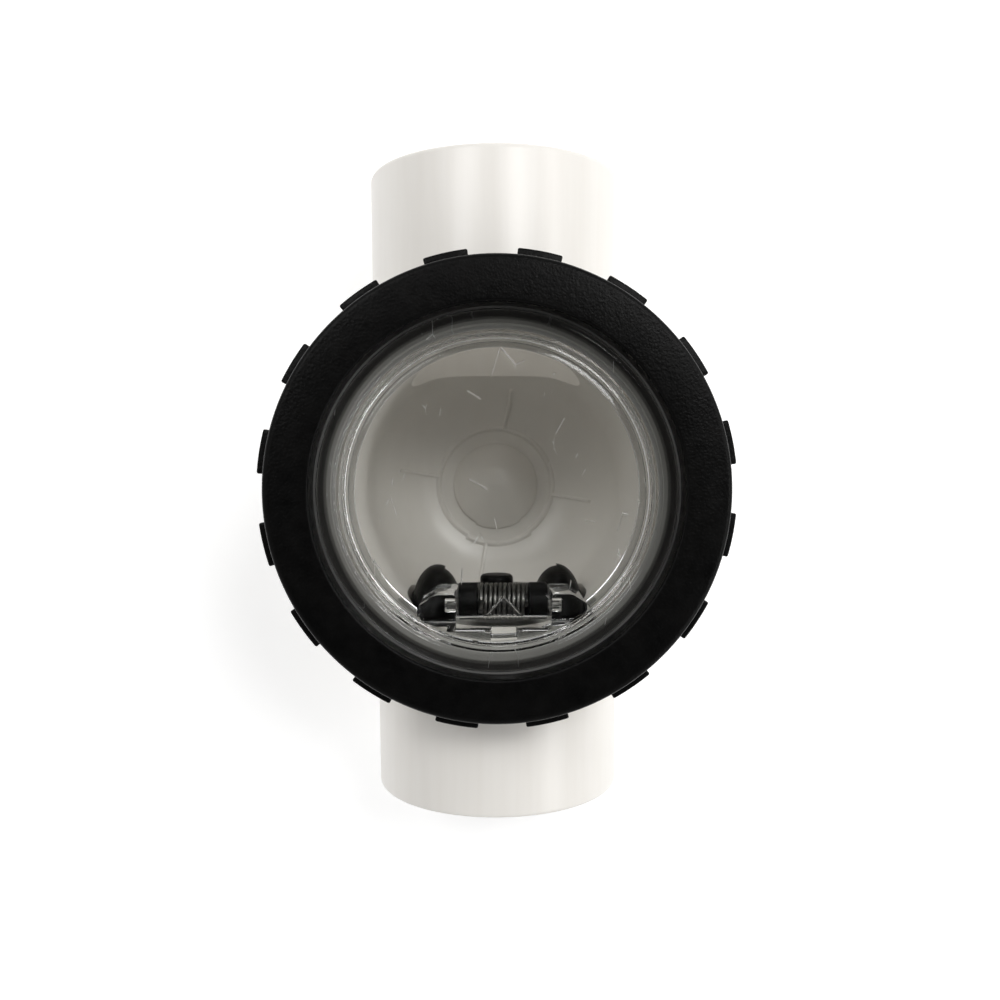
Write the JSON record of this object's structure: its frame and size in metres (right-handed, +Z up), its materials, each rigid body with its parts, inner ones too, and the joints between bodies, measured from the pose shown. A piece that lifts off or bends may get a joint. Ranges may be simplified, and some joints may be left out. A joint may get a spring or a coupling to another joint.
{
  "type": "sight-glass check valve",
  "caption": "In-line swing check valve with a clear sight lid held by a lugged lock ring, and slip sockets for solvent-weld pipe at both ends.",
  "frame": {"origin": "centre of the foot ring's underside, below the crossing of the pipe axis and the lid's axis", "axes": "+Z up along the lid's axis, +Y along the pipe in the direction of flow, +X across the pipe along the hinge pin"},
  "size_m": [0.1186, 0.1808, 0.105],
  "materials": {
    "body": "smooth moulded white PVC with a soft gloss",
    "clear": "clear polished moulding with fine scratches",
    "ring": "black plastic with a fine moulded grain",
    "flapper": "smooth black plastic",
    "rubber": "soft black rubber",
    "washer": "pale low-friction plastic",
    "steel": "drawn stainless wire and rod"
  },
  "bodies": {
    "body": {"valve_body": "body", "lid_o_ring": "rubber"},
    "lid": {"sight_lid": "clear", "slip_washer": "washer", "hinge_pin": "steel", "torsion_spring": "steel"},
    "ring": {"lock_ring": "ring"},
    "flapper": {"flapper_plate": "flapper", "flapper_seal": "rubber", "seal_retainer": "flapper", "seal_rivet": "flapper"}
  },
  "joints": [
    {"name": "lid_lift", "type": "slide", "parent": "body", "child": "lid", "axis": [0, 0, 1], "range_m": [0, 0.00801]},
    {"name": "ring_turn", "type": "hinge", "parent": "lid", "child": "ring", "pos_m": [0, 0, 0.098], "axis": [0, 0, 1], "range_deg": [0, 720]},
    {"name": "flapper_swing", "type": "hinge", "parent": "lid", "child": "flapper", "pos_m": [0, -0.0305, 0.0765], "axis": [1, 0, 0], "range_deg": [0, 75], "stiffness_Nm_per_rad": 0.02, "springref_deg": -45.84, "deforming": ["torsion_spring"]}
  ],
  "couplings": [
    {"joint": "lid_lift", "follows": "ring_turn", "m_per_rad": 0.00063662}
  ]
}
